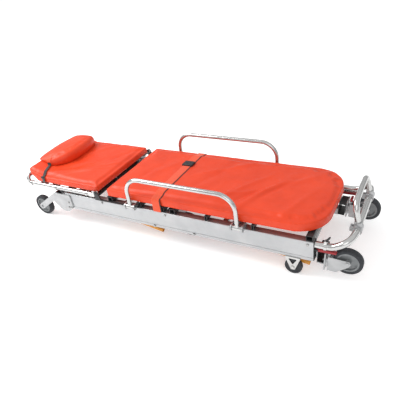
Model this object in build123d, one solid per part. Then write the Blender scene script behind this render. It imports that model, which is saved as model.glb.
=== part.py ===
from build123d import *
import os
from math import cos, radians, sin

# Self-loading ambulance stretcher trolley, stored low with both pairs of legs folded.
# Millimetres. +X towards the foot end, +Y towards the patient's left, +Z up, floor at z = 0.
# "right" is the patient's right, the -Y side. Left pieces are the right ones mirrored.

# ---- wheels -------------------------------------------------------------------------------
WHEEL_R = 62.5              # loading wheels and all four leg wheels
WHEEL_W = 32.0
HUB_R = 48.0
WHEEL_X = 895.0             # loading wheels at -X, folded rear casters at +X
LOADING_Y = 230.0
AUX_R = 40.0                # small wheels under the beams, which carry the folded foot end
AUX_W = 22.0
AUX_X = 669.0
AUX_Y = 240.0
AXLE_R = 5.0
RUN = 0.06                  # radial running clearance of a pin in its bore

# ---- side beams ---------------------------------------------------------------------------
BEAM_HEAD_X, BEAM_FOOT_X = -650.0, 760.0
BEAM_OUT_Y, BEAM_IN_Y = 256.0, 218.0
BEAM_BOTTOM_Z, BEAM_TOP_Z = 97.0, 199.0
WALL = 3.0
PIVOT_Z = 125.5             # leg pivots and strut shoes share the beams' lower chamber
TRACK_HEIGHT = 33.0
SLOT_HEIGHT = 17.0
BEAM_BEVEL = ((-257, 114), (-255.4, 114), (-252.6, 96), (-257, 96))     # lower outer edge, (y, z)
SOCKET_Z = 180.0            # centre of the upper chamber, which holds the handle tube
SOCKET_SIZE = 32.0
MIDDLE_Z, MIDDLE_HEIGHT = 153.0, 16.0   # closed chamber between the other two
SEAT_HALF, SEAT_DEPTH = 37.0, 0.6       # recess that seats the small wheels' brackets
CROSS_TUBE_Z = 181.0
CROSS_TUBE_X = (-600.0, -250.0, 20.0, 330.0, 735.0)

# ---- legs: straight tubes, each with a folding strut of its pivot-to-ear length -------------
LEG_LENGTH = 600.0          # pivot to the caster plate
LEG_TILT = 4.0              # folded legs hang this far below level
LEG_Y = 176.0
LEG_TUBE = 34.0
FRONT_WHEEL_X = 115.0
CASTER_DROP = 92.0          # caster plate to axle, along the leg
CASTER_TRAIL = 25.0
REAR_WHEEL_Y = 209.0
FRONT_WHEEL_Y = 192.0
FRONT_OFFSET = 35.0         # fixed front forks carry the axle this far off the leg's line
STRUT_LENGTH = 205.0
EAR_ANGLE = 20.0            # strut ear above the leg's own line, seen from the pivot
STRUT_Y0, STRUT_Y1 = 194.0, 202.0
AXLE_RUN = (LEG_LENGTH + CASTER_DROP) * cos(radians(LEG_TILT))
AXLE_FALL = (LEG_LENGTH + CASTER_DROP) * sin(radians(LEG_TILT))
FRONT_PIVOT_X = FRONT_WHEEL_X - AXLE_RUN - FRONT_OFFSET * sin(radians(LEG_TILT))
REAR_PIVOT_X = WHEEL_X - AXLE_RUN - CASTER_TRAIL * sin(radians(LEG_TILT))
FRONT_WHEEL_Z = PIVOT_Z - AXLE_FALL + FRONT_OFFSET * cos(radians(LEG_TILT))
REAR_WHEEL_Z = PIVOT_Z - AXLE_FALL + CASTER_TRAIL * cos(radians(LEG_TILT))
LEG_BOSS_R = 20.0
LINK_X, REAR_LINK_X = 150.0, 515.0              # round tubes between the two legs, leg frame
BAR_X, BAR_LOW, BAR_HIGH = 566.0, -8.0, 56.0    # bar at the leg's lower end, leg frame
BAR_DEEP = 32.0
PEDAL_X, PEDAL_Z = 615.0, 44.0                  # brake pedal pin, leg frame

# ---- backrest -----------------------------------------------------------------------------
HINGE_X, HINGE_Z = -408.0, 240.0
BACK_TUBE_Y, BACK_TUBE_Z, BACK_TUBE_R = 243.0, 219.0, 12.5
BACK_HEAD_X, BACK_HEAD_Z = -944.0, 258.0
BACK_FOOT_X = -434.0
BACK_RING_X = (-916.0, -720.0, -486.0)
BACK_SLAT_X = (-508.0, -620.0, -746.0, -840.0)
BACK_SLAT_HALF = BACK_TUBE_Y - BACK_TUBE_R
QUADRANT_R = 100.0

# ---- deck and upholstery --------------------------------------------------------------------
WIDE_SLAT, NARROW_SLAT = 30.0, 13.0
WIDE_SLAT_X = (-323.0, 0.0, 64.0, 741.0)
NARROW_SLAT_X = (-129.0, 251.0, 486.0)
SLAT_TOP_Z = 226.0
PAD_TOP_Z = 277.0
PAD_HALF_Y = 252.0
LEG_PAD_HEAD_X, LEG_PAD_FOOT_X = -344.0, 802.0
FOOT_CORNER_R = 150.0
BELT_X, BELT_W, BELT_T = -21.0, 50.0, 2.0
BUCKLE_Y = 92.0
BACK_PAD_HEAD_X, BACK_PAD_FOOT_X = -943.0, -402.0
BACK_PAD_HALF_Y, BACK_CORNER_R = 247.0, 60.0
PILLOW_Y, PILLOW_HALF = 28.0, 165.0
PILLOW_HEAD_X, PILLOW_FOOT_X, PILLOW_CORNER_R = -946.0, -735.0, 40.0

# ---- guard rails ----------------------------------------------------------------------------
GUARD_POST_X = (-177.0, 420.0)
GUARD_Y, GUARD_AXIS_Y, GUARD_AXIS_Z = 267.0, 269.0, 208.0
GUARD_TOP_Z = 373.0
GUARD_R = 11.0
GUARD_BEND = 85.0
KNOB_Y, KNOB_Z = -261.6, 215.4

# ---- foot handle ----------------------------------------------------------------------------
HANDLE_R = 15.0
HANDLE_Y = 237.0
HANDLE_X, HANDLE_Z = 911.0, 221.0       # the handle's rear bar, which is the hoop's axis
HOOP_Y = 130.0
HOOP_R = 12.5
HOOP_TOP_X, HOOP_TOP_Z = 893.0, 336.0
CATCH_X, CATCH_Z = 806.0, 204.0
LEVER_X, LEVER_Z = 772.0, 156.0

# ---- bolt centres on the outer faces, (x, z) ----------------------------------------------------
BEAM_BOLTS = ((-384, 184), (-58, 105), (21, 184), (175, 105), (735, 182))
GUSSET_BOLTS = ((-640, 140), (-647, 108), (-628, 108))


# ---- small helpers ----------------------------------------------------------------------------
def block(x0, x1, y0, y1, z0, z1):
    return Pos((x0 + x1) / 2, (y0 + y1) / 2, (z0 + z1) / 2) * Box(x1 - x0, y1 - y0, z1 - z0)


def rod_x(x0, x1, y, z, r):
    return Pos((x0 + x1) / 2, y, z) * Rot(0, 90, 0) * Cylinder(r, x1 - x0)


def rod_y(x, y0, y1, z, r):
    return Pos(x, (y0 + y1) / 2, z) * Rot(90, 0, 0) * Cylinder(r, y1 - y0)


def rod_z(x, y, z0, z1, r):
    return Pos(x, y, (z0 + z1) / 2) * Cylinder(r, z1 - z0)


def side_plate(points, y0, y1, fillet_r=0.0):
    """A flat plate with its outline given as (x, z) points, from y0 to y1."""
    face = make_face(Polyline(*points, close=True))
    if fillet_r:
        face = fillet(face.vertices(), fillet_r)
    plate = extrude(Plane.XZ * face, amount=-(y1 - y0))
    return Pos(0, y0, 0) * plate


def hull_plate(discs, y0, y1):
    """A plate whose outline is the hull of discs given as (x, z, radius)."""
    outline = [Pos(x, z) * Circle(r) for x, z, r in discs]
    edges = [edge for disc in outline for edge in disc.edges()]
    face = make_hull(edges)
    return Pos(0, y0, 0) * extrude(Plane.XZ * face, amount=-(y1 - y0))


def pipe(points, bend_radii, r_out, wall):
    """A round tube along straight runs joined by tangent bends."""
    path = FilletPolyline(*points, radius=bend_radii) if bend_radii else Line(*points)
    ring = Circle(r_out) - Circle(r_out - wall)
    start = Plane(path @ 0, z_dir=path % 0)
    return sweep(start * ring, path=path)


def solids_of(*shapes):
    return Compound(children=[solid for shape in shapes for solid in shape.solids()])


def mirrored(shape):
    return mirror(shape, about=Plane.XZ)


def both_sides(shape):
    """The right-hand shape and its left-hand mirror image, as separate solids."""
    return solids_of(shape, mirrored(shape))


def in_leg(shape, pivot_x):
    """Carries a shape from the leg's own frame (pivot at the origin, leg along +X)."""
    return Pos(pivot_x, 0, PIVOT_Z) * Rot(0, LEG_TILT, 0) * shape


# ---- beams and fixed frame --------------------------------------------------------------------
def beam_right():
    middle_y = -(BEAM_OUT_Y + BEAM_IN_Y) / 2
    width = BEAM_OUT_Y - BEAM_IN_Y
    height = BEAM_TOP_Z - BEAM_BOTTOM_Z
    inner = width - 2 * WALL
    section = Pos(middle_y, (BEAM_TOP_Z + BEAM_BOTTOM_Z) / 2) * RectangleRounded(width, height, 3)
    section -= Pos(middle_y, SOCKET_Z) * Rectangle(inner, SOCKET_SIZE)
    section -= Pos(middle_y, MIDDLE_Z) * Rectangle(inner, MIDDLE_HEIGHT)
    section -= Pos(middle_y, PIVOT_Z) * Rectangle(inner, TRACK_HEIGHT)
    section -= Pos(-BEAM_IN_Y - 1, PIVOT_Z) * Rectangle(6, SLOT_HEIGHT)
    section -= Pos(middle_y + 1.5, 103) * Rectangle(inner - 3, 6)
    section -= Pos(-BEAM_OUT_Y, BEAM_BOTTOM_Z + 19) * Rectangle(2.4, 2.4)
    section -= make_face(Polyline(*BEAM_BEVEL, close=True))
    beam = extrude(Plane.YZ.offset(BEAM_HEAD_X) * section, amount=BEAM_FOOT_X - BEAM_HEAD_X)
    seat_top = BEAM_BOTTOM_Z + SEAT_DEPTH
    return beam - block(AUX_X - SEAT_HALF, AUX_X + SEAT_HALF, -BEAM_OUT_Y - 1, -BEAM_IN_Y + 1, 90, seat_top)


def beam_end_caps():
    """Black plastic plates over the beam ends, with a hole for the handle tube at the foot."""
    low, high = BEAM_BOTTOM_Z + 3.5, BEAM_TOP_Z - 1
    foot = block(BEAM_FOOT_X, BEAM_FOOT_X + 3, -BEAM_OUT_Y + 3, -BEAM_IN_Y, low, high)
    foot -= rod_x(BEAM_FOOT_X - 1, BEAM_FOOT_X + 4, -HANDLE_Y, SOCKET_Z, HANDLE_R + 0.3)
    for y in (-HANDLE_Y - 11, -HANDLE_Y + 8):
        foot += hull_plate([(BEAM_FOOT_X + 4, LEVER_Z, 4), (LEVER_X, LEVER_Z, 5)], y, y + 3)
    foot += rod_y(LEVER_X, -HANDLE_Y - 11, -HANDLE_Y + 11, LEVER_Z, 3)
    head = block(BEAM_HEAD_X - 3, BEAM_HEAD_X, -BEAM_OUT_Y + 3, -BEAM_IN_Y, low, high)
    return both_sides(solids_of(foot, head))


def frame_cross_tubes():
    tubes = []
    for x in CROSS_TUBE_X:
        tube = rod_y(x, -BEAM_IN_Y, BEAM_IN_Y, CROSS_TUBE_Z, 14)
        tubes += (tube - rod_y(x, -BEAM_IN_Y - 1, BEAM_IN_Y + 1, CROSS_TUBE_Z, 11.5)).solids()
    return Compound(children=tubes)


def deck_slats():
    """Hollow black cross bars that lie on the beams and carry the leg pad."""
    widths = {x: WIDE_SLAT for x in WIDE_SLAT_X} | {x: NARROW_SLAT for x in NARROW_SLAT_X}
    slats = []
    for x, width in widths.items():
        half, inner = width / 2, width / 2 - WALL
        bar = block(x - half, x + half, -250, 250, BEAM_TOP_Z, SLAT_TOP_Z)
        bar = fillet(bar.edges().filter_by(Axis.Y), WALL)
        slats += (bar - block(x - inner, x + inner, -251, 251, BEAM_TOP_Z + WALL, SLAT_TOP_Z - WALL)).solids()
    return Compound(children=slats)


def loading_arm_right():
    """A raked fork: two cheeks that hold the wheel, joined by a box behind it."""
    cheek = hull_plate([(0, 0, 17), (215 - 17, 0, 17)], 0, 5)
    arm = Pos(0, -256, 0) * cheek + Pos(0, -212, 0) * hull_plate([(0, 0, 17), (120, 0, 17)], 0, 5)
    arm += block(80, 145, -251, -207, -17, 17) + block(145, 205, -251, -218, -17, 17)
    arm -= block(95, 206, -246, -223, -12, 12)
    arm += rod_y(0, -262, -203, 0, AXLE_R) + rod_y(0, -260.5, -256, 0, 9) + rod_y(0, -207, -203, 0, 9)
    return Pos(-WHEEL_X, 0, WHEEL_R) * Rot(0, -34, 0) * arm


def loading_gussets_right():
    """Rounded plates on both faces of the beam, which carry the loading arm."""
    outline = [(-772, 142), (-706, 76), (-658, 76), (-616, 108), (-616, 190), (-716, 190)]
    outer = side_plate(outline, -262, -256, 14)
    inner = side_plate(outline, -218, -212, 14)
    return Compound(children=[outer, inner])


def aux_wheel_bracket_right():
    """A folded sheet yoke: two triangles, each with a triangular window, under a top web."""
    top = BEAM_BOTTOM_Z + SEAT_DEPTH
    triangle = [(AUX_X - 36, top), (AUX_X + 36, top), (AUX_X + 9, 28), (AUX_X - 9, 28)]
    window = [(AUX_X - 20, 88), (AUX_X + 20, 88), (AUX_X, 56)]
    cheek = side_plate(triangle, 0, 3, 4) - side_plate(window, -1, 4, 3)
    yoke = Pos(0, -AUX_Y - 17, 0) * cheek + Pos(0, -AUX_Y + 14, 0) * cheek
    yoke += block(AUX_X - 32, AUX_X + 32, -AUX_Y - 17, -AUX_Y + 17, top - WALL, top)
    yoke += rod_y(AUX_X, -AUX_Y - 20, -AUX_Y + 20, AUX_R, AXLE_R)
    yoke += rod_y(AUX_X, -AUX_Y - 21, -AUX_Y - 17, AUX_R, 8)
    return yoke


def leg_pivot_pins():
    """Fixed stub axles, each on a block that fills the beam's lower chamber."""
    stubs = []
    for x in (FRONT_PIVOT_X, REAR_PIVOT_X):
        low, high = PIVOT_Z - TRACK_HEIGHT / 2, PIVOT_Z + TRACK_HEIGHT / 2
        stub = block(x - 25, x + 25, -BEAM_OUT_Y + WALL, -BEAM_IN_Y - WALL, low, high)
        stub += rod_y(x, -BEAM_IN_Y - WALL, -158, PIVOT_Z, 8)
        stubs += both_sides(stub).solids()
    return Compound(children=stubs)


def guard_hinge_blocks():
    """Cast clevises on the beams' outer top edges; the head-side ones hold the pull knobs."""
    blocks = []
    for x in GUARD_POST_X:
        clevis = block(x - 31, x + 31, -257, -232, BEAM_TOP_Z, BEAM_TOP_Z + 5)
        for ear_x in (x - 31, x + 23):
            ear = rod_x(ear_x, ear_x + 8, -GUARD_AXIS_Y, GUARD_AXIS_Z, 15)
            ear += block(ear_x, ear_x + 8, -GUARD_AXIS_Y, -232, BEAM_TOP_Z, BEAM_TOP_Z + 24)
            clevis += ear - block(ear_x - 1, ear_x + 9, -256, -200, 180, BEAM_TOP_Z)
        clevis += rod_x(x - 34, x + 31, -GUARD_AXIS_Y, GUARD_AXIS_Z, 5)
        if x == GUARD_POST_X[0]:
            clevis -= rod_x(x + 22, x + 32, KNOB_Y, KNOB_Z, 3 + RUN)
        blocks += both_sides(clevis).solids()
    return Compound(children=blocks)


def back_hinge_bracket_right():
    """Black steel angle on the beam, with the backrest's hinge pin."""
    bracket = block(-424, -235, -261, -250.5, BEAM_TOP_Z, BEAM_TOP_Z + 4)
    bracket += hull_plate([(HINGE_X, HINGE_Z, 13), (HINGE_X - 8, 203, 4), (HINGE_X + 22, 203, 4)], -261, -257)
    bracket -= block(-440, -200, -262, -256, 180, BEAM_TOP_Z)
    bracket -= block(-440, -394, -257, -230, 180, 204)
    return bracket + rod_y(HINGE_X, -264, -249.5, HINGE_Z, 6)


def foot_handle():
    """The U-shaped push handle, plugged into both beams and cranked up behind them."""
    near = [(BEAM_FOOT_X - 120, -HANDLE_Y, SOCKET_Z), (836, -HANDLE_Y, SOCKET_Z),
            (898, -HANDLE_Y, 219), (HANDLE_X, -165, HANDLE_Z)]
    points = near + [(x, -y, z) for x, y, z in reversed(near)]
    tube = pipe(points, [70, 50, 120, 120, 50, 70], HANDLE_R, 2)
    clamp = rod_x(CATCH_X - 6, CATCH_X + 6, -HANDLE_Y, SOCKET_Z, HANDLE_R + 3)
    for offset in (-8, 5):
        ear = hull_plate([(CATCH_X, 190, 6), (CATCH_X, CATCH_Z, 6)], 0, 3)
        clamp += Pos(0, -HANDLE_Y + offset, 0) * ear
    clamp -= rod_x(CATCH_X - 8, CATCH_X + 8, -HANDLE_Y, SOCKET_Z, HANDLE_R + 0.05)
    clamp += rod_y(CATCH_X, -HANDLE_Y - 8, -HANDLE_Y + 8, CATCH_Z, 2.5)
    return solids_of(tube, clamp)


def catch_lever():
    """The thumb lever above the near end of the handle."""
    outline = [(CATCH_X, CATCH_Z, 5), (CATCH_X + 16, CATCH_Z + 24, 3)]
    lever = hull_plate(outline, -HANDLE_Y - 4, -HANDLE_Y + 4)
    return lever - rod_y(CATCH_X, -HANDLE_Y - 5, -HANDLE_Y + 5, CATCH_Z, 2.5 + RUN)


def hoop_handle():
    """The upright grab hoop that folds outwards about the foot handle."""
    near = [(HANDLE_X, -HOOP_Y, HANDLE_Z + 17), (HOOP_TOP_X, -HOOP_Y + 8, HOOP_TOP_Z),
            (HOOP_TOP_X, 0, HOOP_TOP_Z + 5)]
    points = near + [(x, -y, z) for x, y, z in reversed(near[:2])]
    return pipe(points, [48, 300, 48], HOOP_R, 2)


def hoop_sleeves():
    """Plastic sleeves that turn on the foot handle and hold the hoop's ends."""
    sleeve = rod_y(HANDLE_X, -HOOP_Y - 22, -HOOP_Y + 22, HANDLE_Z, 20)
    sleeve += rod_z(HANDLE_X - 0.5, -HOOP_Y, HANDLE_Z, HANDLE_Z + 34, 16)
    for offset in (-14, 6):
        y = -HOOP_Y + offset
        sleeve += block(HANDLE_X - 32, HANDLE_X, y, y + 8, HANDLE_Z - 10, HANDLE_Z + 10)
    sleeve -= rod_y(HANDLE_X, -HOOP_Y - 30, -HOOP_Y + 30, HANDLE_Z, HANDLE_R + RUN)
    start = Plane(origin=(HANDLE_X, -HOOP_Y, HANDLE_Z + 17),
                  z_dir=(HOOP_TOP_X - HANDLE_X, 8, HOOP_TOP_Z - HANDLE_Z - 17))
    sleeve -= extrude(start * Circle(HOOP_R + 0.05), amount=40)
    return both_sides(sleeve)


def release_lever_right():
    """The red paddle under the handle tube that unlocks the legs."""
    y0, y1 = -HANDLE_Y - 7.5, -HANDLE_Y + 7.5
    paddle = hull_plate([(LEVER_X, LEVER_Z, 6.5), (LEVER_X + 76, LEVER_Z - 1, 4.5)], y0, y1)
    return paddle - rod_y(LEVER_X, y0 - 1, y1 + 1, LEVER_Z, 3 + RUN)


def frame_bolts():
    """Domed bolt heads on the beams' outer faces and on the gussets."""
    head = Pos(0, -3.2, 0) * Rot(90, 0, 0) * Cylinder(6, 1.6)
    head += Pos(0, -1.2, 0) * Rot(90, 0, 0) * Cylinder(7, 2.4)
    heads = []
    for x, z in BEAM_BOLTS:
        heads += both_sides(Pos(x, -BEAM_OUT_Y, z) * head).solids()
    for x, z in GUSSET_BOLTS:
        heads += both_sides(Pos(x, -BEAM_OUT_Y - 6, z) * head).solids()
    return Compound(children=heads)


def quadrant_lock():
    """A cross tube with two cheeks that straddle the backrest's toothed quadrant."""
    lock = rod_y(-505, -BEAM_IN_Y, BEAM_IN_Y, 158, 14)
    lock -= rod_y(-505, -BEAM_IN_Y - 1, BEAM_IN_Y + 1, 158, 11)
    cheek = hull_plate([(-497, 160, 10), (-480, 176, 9)], 6, 12)
    cheek -= rod_y(-505, 5, 13, 158, 13)
    return lock + cheek + mirrored(cheek)


# ---- backrest -----------------------------------------------------------------------------------
def back_frame():
    """A U tube that rises over the head end, with joint rings and hinge lugs."""
    half = [(BACK_FOOT_X, -BACK_TUBE_Y, BACK_TUBE_Z), (BACK_HEAD_X + 6, -BACK_TUBE_Y, BACK_TUBE_Z),
            (BACK_HEAD_X, -BACK_TUBE_Y, BACK_HEAD_Z)]
    points = half + [(x, -y, z) for x, y, z in reversed(half)]
    frame = pipe(points, 20, BACK_TUBE_R, 2)
    side = rod_x(-470, BACK_FOOT_X, -BACK_TUBE_Y, BACK_TUBE_Z, BACK_TUBE_R - 1)
    for x in BACK_RING_X:
        ring = rod_x(x - 6, x + 6, -BACK_TUBE_Y, BACK_TUBE_Z, BACK_TUBE_R + 3)
        side += ring - rod_x(x - 7, x + 7, -BACK_TUBE_Y, BACK_TUBE_Z, BACK_TUBE_R - 1)
    lug = [(-462, BACK_TUBE_Z, 8), (BACK_FOOT_X - 4, BACK_TUBE_Z, 8), (HINGE_X, HINGE_Z, 13)]
    side += hull_plate(lug, -256, -250)
    side -= rod_y(HINGE_X, -257, -249, HINGE_Z, 6 + RUN)
    return frame + side + mirrored(side)


def back_slats():
    slats = []
    for x in BACK_SLAT_X:
        bar = block(x - 15, x + 15, -BACK_SLAT_HALF, BACK_SLAT_HALF, 208, 230)
        hollow = block(x - 12, x + 12, -BACK_SLAT_HALF - 1, BACK_SLAT_HALF + 1, 211, 227)
        slats += (bar - hollow).solids()
    return Compound(children=slats)


def back_quadrant():
    """A notched arc about the hinge, hung from the backrest's first slat."""
    ring = Circle(QUADRANT_R + 6) - Circle(QUADRANT_R - 6)
    start, end = radians(201), radians(300)
    reach = QUADRANT_R * 2
    wedge = make_face(Polyline((0, 0), (reach * cos(start), reach * sin(start)), (-reach, -reach),
                               (0, -reach), (reach * cos(end), reach * sin(end)), close=True))
    arc = ring & wedge
    for step in range(9):
        angle = radians(204 + 11 * step)
        arc -= Pos((QUADRANT_R + 6) * cos(angle), (QUADRANT_R + 6) * sin(angle)) * Circle(3.5)
    sector = Pos(HINGE_X, -5, HINGE_Z) * extrude(Plane.XZ * arc, amount=-10)
    flange = block(-520, -490, -14, 14, 203, 208)
    hanger = block(-511, -497, -5, 5, 198, 204)
    return sector + flange + hanger


def rounded_head(x0, x1, y0, y1, corner_r):
    """A tall prism whose two corners at x0 are rounded, for trimming a pad's plan."""
    plan = extrude(Polygon((x0, y0), (x1, y0), (x1, y1), (x0, y1), align=None), amount=400)
    return fillet(plan.edges().filter_by(Axis.Z).group_by(Axis.X)[0], corner_r)


def back_cushion():
    """A pad with a raised head end, which stops over the hinge, short of the leg pad."""
    profile = [(BACK_PAD_FOOT_X, 235), (-862, 235), (-905, 272), (-940, 272), (BACK_PAD_HEAD_X, 300),
               (-926, 312), (-800, PAD_TOP_Z), (BACK_PAD_FOOT_X, PAD_TOP_Z)]
    pad = side_plate(profile, -BACK_PAD_HALF_Y, BACK_PAD_HALF_Y, 6)
    return pad & rounded_head(BACK_PAD_HEAD_X, HINGE_X + 50, -BACK_PAD_HALF_Y, BACK_PAD_HALF_Y, BACK_CORNER_R)


def pillow():
    """A wedge of soft foam whose underside follows the back pad's rise."""
    profile = [(-946, 317), (-922, 343), (-862, 354), (-800, 345), (-748, 316), (-735, 294), (-746, 279),
               (-800, 278.6), (-926, 313.8)]
    wedge = side_plate(profile, PILLOW_Y - PILLOW_HALF, PILLOW_Y + PILLOW_HALF, 3)
    plan = RectangleRounded(PILLOW_FOOT_X - PILLOW_HEAD_X, 2 * PILLOW_HALF, PILLOW_CORNER_R)
    middle_x = (PILLOW_FOOT_X + PILLOW_HEAD_X) / 2
    return wedge & extrude(Pos(middle_x, PILLOW_Y, BEAM_TOP_Z) * plan, amount=200)


# ---- leg pad, belt --------------------------------------------------------------------------------
def leg_cushion():
    head_x, foot_x, half = LEG_PAD_HEAD_X, LEG_PAD_FOOT_X, PAD_HALF_Y
    plan = Polygon((head_x, -half), (foot_x, -half), (foot_x, half), (head_x, half), align=None)
    pad = extrude(Pos(0, 0, SLAT_TOP_Z + 1) * plan, amount=PAD_TOP_Z - SLAT_TOP_Z - 1)
    pad = fillet(pad.edges().filter_by(Axis.Z).group_by(Axis.X)[-1], FOOT_CORNER_R)
    pad = fillet(pad.edges().filter_by(Axis.Z).group_by(Axis.X)[0], 12)
    return fillet(pad.faces().filter_by(Axis.Z).edges(), 8)


def belt():
    """The lap strap, over the leg pad and down both sides to the beams."""
    outer = Pos(0, 215) * RectangleRounded(2 * 256.0, 2 * (PAD_TOP_Z + 0.3 + BELT_T - 215), 12)
    inner = Pos(0, 215) * RectangleRounded(2 * 254.0, 2 * (PAD_TOP_Z + 0.3 - 215), 10)
    band = outer - inner - Pos(0, BEAM_TOP_Z - 48) * Rectangle(600, 100)
    x0 = BELT_X - BELT_W / 2
    return extrude(Plane.YZ.offset(x0) * band, amount=BELT_W)


def belt_buckle():
    low = PAD_TOP_Z + 0.3 + BELT_T
    case = block(BELT_X - 30, BELT_X + 30, BUCKLE_Y - 23, BUCKLE_Y + 23, low, low + 14)
    case = fillet(case.edges(), 3)
    return case - block(BELT_X - 13, BELT_X + 13, BUCKLE_Y - 13, BUCKLE_Y + 9, low + 6, low + 20)


def buckle_button():
    low = PAD_TOP_Z + 0.3 + BELT_T
    button = block(BELT_X - 12.7, BELT_X + 12.7, BUCKLE_Y - 12.7, BUCKLE_Y + 8.7, low + 9, low + 14.5)
    return fillet(button.faces().sort_by(Axis.Z)[-1].edges(), 1)


# ---- guard rails ------------------------------------------------------------------------------------
def guard_rail_right():
    """A tube loop with a cross sleeve at the foot of each post."""
    head_x, foot_x = GUARD_POST_X
    points = [(head_x, -GUARD_Y, GUARD_AXIS_Z), (head_x, -GUARD_Y, GUARD_TOP_Z),
              (foot_x, -GUARD_Y, GUARD_TOP_Z), (foot_x, -GUARD_Y, GUARD_AXIS_Z)]
    rail = pipe(points, GUARD_BEND, GUARD_R, 2)
    for x in GUARD_POST_X:
        rail += rod_x(x - 22, x + 22, -GUARD_AXIS_Y, GUARD_AXIS_Z, GUARD_R)
    for x in GUARD_POST_X:
        rail -= rod_x(x - 23, x + 23, -GUARD_AXIS_Y, GUARD_AXIS_Z, AXLE_R + RUN)
    return rail


def guard_knob_right():
    """The spring-loaded pull knob beside the head-side hinge."""
    face_x = GUARD_POST_X[0] + 31
    knob = rod_x(face_x + 0.3, face_x + 16, KNOB_Y, KNOB_Z, 9)
    knob += rod_x(face_x - 7.5, face_x + 1, KNOB_Y, KNOB_Z, 3)
    return knob - Pos(face_x + 16, KNOB_Y, KNOB_Z) * Rot(0, 90, 0) * Cylinder(5, 4)


# ---- folding legs -------------------------------------------------------------------------------------
def leg_side():
    """One square leg tube with its pivot boss and strut ear, each a separate welded piece."""
    half = LEG_TUBE / 2
    inner, outer = LEG_Y - half, LEG_Y + half
    boss = rod_y(0, -216, -157, 0, LEG_BOSS_R)
    tube = block(0, BAR_X, -outer, -inner, -half, half)
    tube -= block(-1, BAR_X + 1, -outer + WALL, -inner - WALL, -half + WALL, half - WALL)
    ear_x, ear_z = STRUT_LENGTH * cos(radians(EAR_ANGLE)), STRUT_LENGTH * sin(radians(EAR_ANGLE))
    ear = hull_plate([(160, 12, 5), (232, 12, 5), (ear_x, ear_z, 13)], -outer, -outer + 6)
    ear -= block(0, BAR_X, -outer - 1, -inner, 0, half)
    ear += rod_y(ear_x, -203, -outer, ear_z, 6) + rod_y(ear_x, -205.5, -202.5, ear_z, 9)
    return solids_of(boss - rod_y(0, -217, -150, 0, 8 + RUN), tube - boss, ear)


def leg_link(x):
    """A round tube between the two leg tubes."""
    reach = LEG_Y - LEG_TUBE / 2
    return rod_y(x, -reach, reach, 0, 14) - rod_y(x, -reach - 1, reach + 1, 0, 11)


def cross_bar(y0, y1):
    """A hollow bar across the lower end of a leg pair, or across one leg of it."""
    bar = block(BAR_X, BAR_X + BAR_DEEP, y0, y1, BAR_LOW, BAR_HIGH)
    bar = fillet(bar.edges().filter_by(Axis.Y), 3)
    return bar - block(BAR_X + WALL, BAR_X + BAR_DEEP - WALL, y0 - 1, y1 + 1, BAR_LOW + WALL, BAR_HIGH - WALL)


def rear_caster_bracket():
    """A steel angle on the cross bar; its face carries the caster's kingpin."""
    face_x = BAR_X + BAR_DEEP
    plate = block(face_x, face_x + 6, -REAR_WHEEL_Y - 30, -REAR_WHEEL_Y + 30, -38, BAR_HIGH)
    plate = fillet(plate.edges().filter_by(Axis.X), 8)
    flange = block(BAR_X, face_x + 1, -REAR_WHEEL_Y - 19, -REAR_WHEEL_Y + 30, BAR_LOW - 6, BAR_LOW)
    return plate + flange - rod_x(BAR_X - 4, face_x + 8, -REAR_WHEEL_Y, 0, 6 + RUN)


def rear_leg_frame():
    sides = both_sides(solids_of(leg_side(), rear_caster_bracket()))
    return in_leg(solids_of(sides, leg_link(LINK_X), leg_link(REAR_LINK_X)), REAR_PIVOT_X)


def rear_leg_ends():
    """Black housings on the rear legs' ends; each one's face backs a caster's kingpin."""
    housing = cross_bar(-228, -150)
    housing -= rod_x(BAR_X + 20, BAR_X + 40, -REAR_WHEEL_Y, 0, 6 + RUN)
    return in_leg(both_sides(housing), REAR_PIVOT_X)


def front_leg_frame():
    return in_leg(solids_of(both_sides(leg_side()), leg_link(LINK_X), cross_bar(-208, 208)), FRONT_PIVOT_X)


def leg_bumpers(pivot_x):
    """Round strike tubes under the legs, each on two bracket plates."""
    y = -205.5
    start, end = (200, y, -8), (535, y, -44)
    tube = pipe([start, end], 0, 12, 2.5)
    slope = (end[2] - start[2]) / (end[0] - start[0])
    for x in (240, 480):
        low = start[2] + slope * (x - start[0])
        plate = block(x - 4, x + 4, y, -180, min(low, -26), -LEG_TUBE / 2)
        tube += plate - rod_x(x - 5, x + 5, y, low, 10.5)
    return in_leg(both_sides(tube), pivot_x)


def front_forks():
    """Fixed forks below the front cross bar; their wheels fold up between the beams."""
    plate_x = BAR_X + BAR_DEEP
    y = FRONT_WHEEL_Y
    base = block(plate_x, plate_x + 6, -y - 22, -y + 22, -20, BAR_HIGH)
    outline = [(plate_x + 3, -18), (650, -18), (706, 22), (710, 35), (704, 47), (640, 52), (plate_x + 3, 54)]
    fork = base + side_plate(outline, -y - 22, -y - 18, 5) + side_plate(outline, -y + 18, -y + 22, 5)
    axle_x = LEG_LENGTH + CASTER_DROP
    fork += rod_y(axle_x, -y - 24, -y + 24, FRONT_OFFSET, AXLE_R)
    for y0 in (-y - 25, -y + 22):
        fork += rod_y(axle_x, y0, y0 + 3, FRONT_OFFSET, 8)
    return in_leg(both_sides(fork), FRONT_PIVOT_X)


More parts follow.
